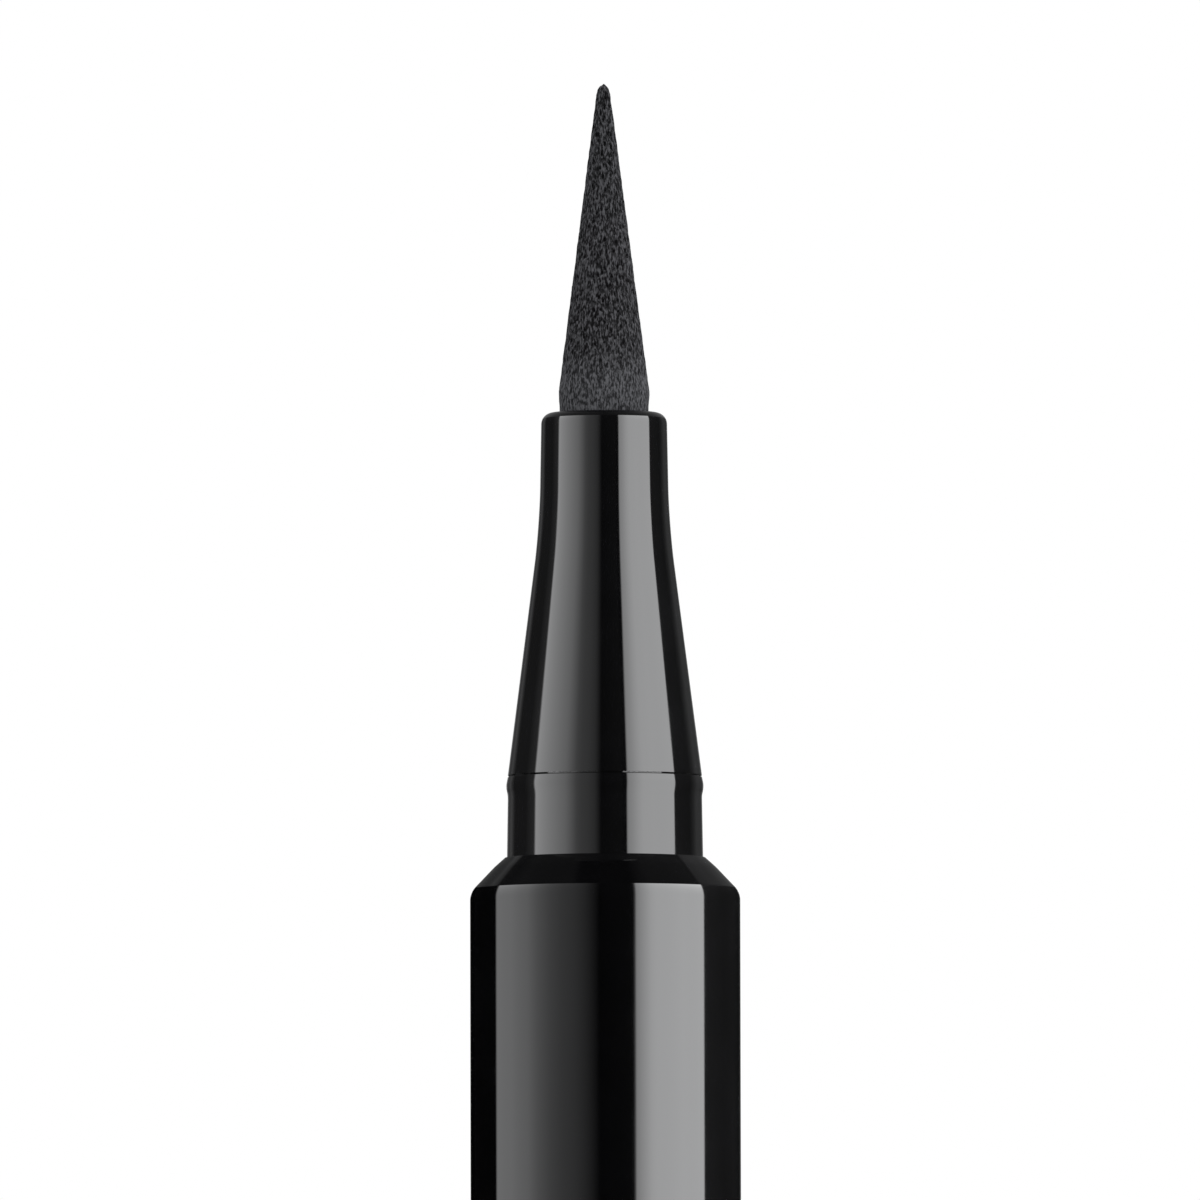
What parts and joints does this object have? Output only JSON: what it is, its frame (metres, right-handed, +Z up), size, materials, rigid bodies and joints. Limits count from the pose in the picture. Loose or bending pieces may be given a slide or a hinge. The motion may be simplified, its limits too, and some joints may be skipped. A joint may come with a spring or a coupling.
{
  "type": "liquid eyeliner pen",
  "caption": "Uncapped felt-tip liquid eyeliner pen, standing tip up on its posted cap: glossy round barrel, click collar, tapered nozzle and long blunt cone tip.",
  "frame": {"origin": "centre of the cap's flat closed end, which the pen stands on", "axes": "+Z up along the pen, from the cap's closed end to the felt tip; the outside is round about Z, so X and Y are alike"},
  "size_m": [0.0108, 0.0108, 0.1617],
  "materials": {
    "gloss_black": "polished black, mirror gloss",
    "satin_black": "satin black",
    "natural_plastic": "milky, slightly translucent",
    "charcoal_felt": "matte sintered fibre, soaked with ink",
    "inked_fibre": "matte drawn fibre, soaked with ink",
    "spring_steel": "drawn wire",
    "ball_steel": "polished"
  },
  "bodies": {
    "cap": {"cap_shell": "gloss_black", "cap_liner": "satin_black", "cap_spring": "spring_steel"},
    "sealing_cup": {"inner_cap": "natural_plastic"},
    "pen": {"outer_barrel": "gloss_black", "inner_barrel": "gloss_black", "nozzle": "gloss_black", "fibre_tip": "charcoal_felt", "tip_holder": "natural_plastic", "feed_wick": "inked_fibre", "ink_collector": "natural_plastic", "tail_plug": "gloss_black"},
    "ball_1": {"mixing_ball_1": "ball_steel"},
    "ball_2": {"mixing_ball_2": "ball_steel"}
  },
  "joints": [
    {"name": "pen_lift", "type": "slide", "parent": "cap", "child": "pen", "axis": [0, 0, 1], "range_m": [0, 0.03]},
    {"name": "cup_press", "type": "slide", "parent": "cap", "child": "sealing_cup", "axis": [0, 0, -1], "range_m": [0, 0.0025], "stiffness_N_per_m": 150, "springref_m": -0.003, "deforming": ["cap_spring"]},
    {"name": "ball_1_travel", "type": "slide", "parent": "pen", "child": "ball_1", "axis": [0, 0, 1], "range_m": [0, 0.047]},
    {"name": "ball_2_travel", "type": "slide", "parent": "pen", "child": "ball_2", "axis": [0, 0, 1], "range_m": [0, 0.047]}
  ]
}
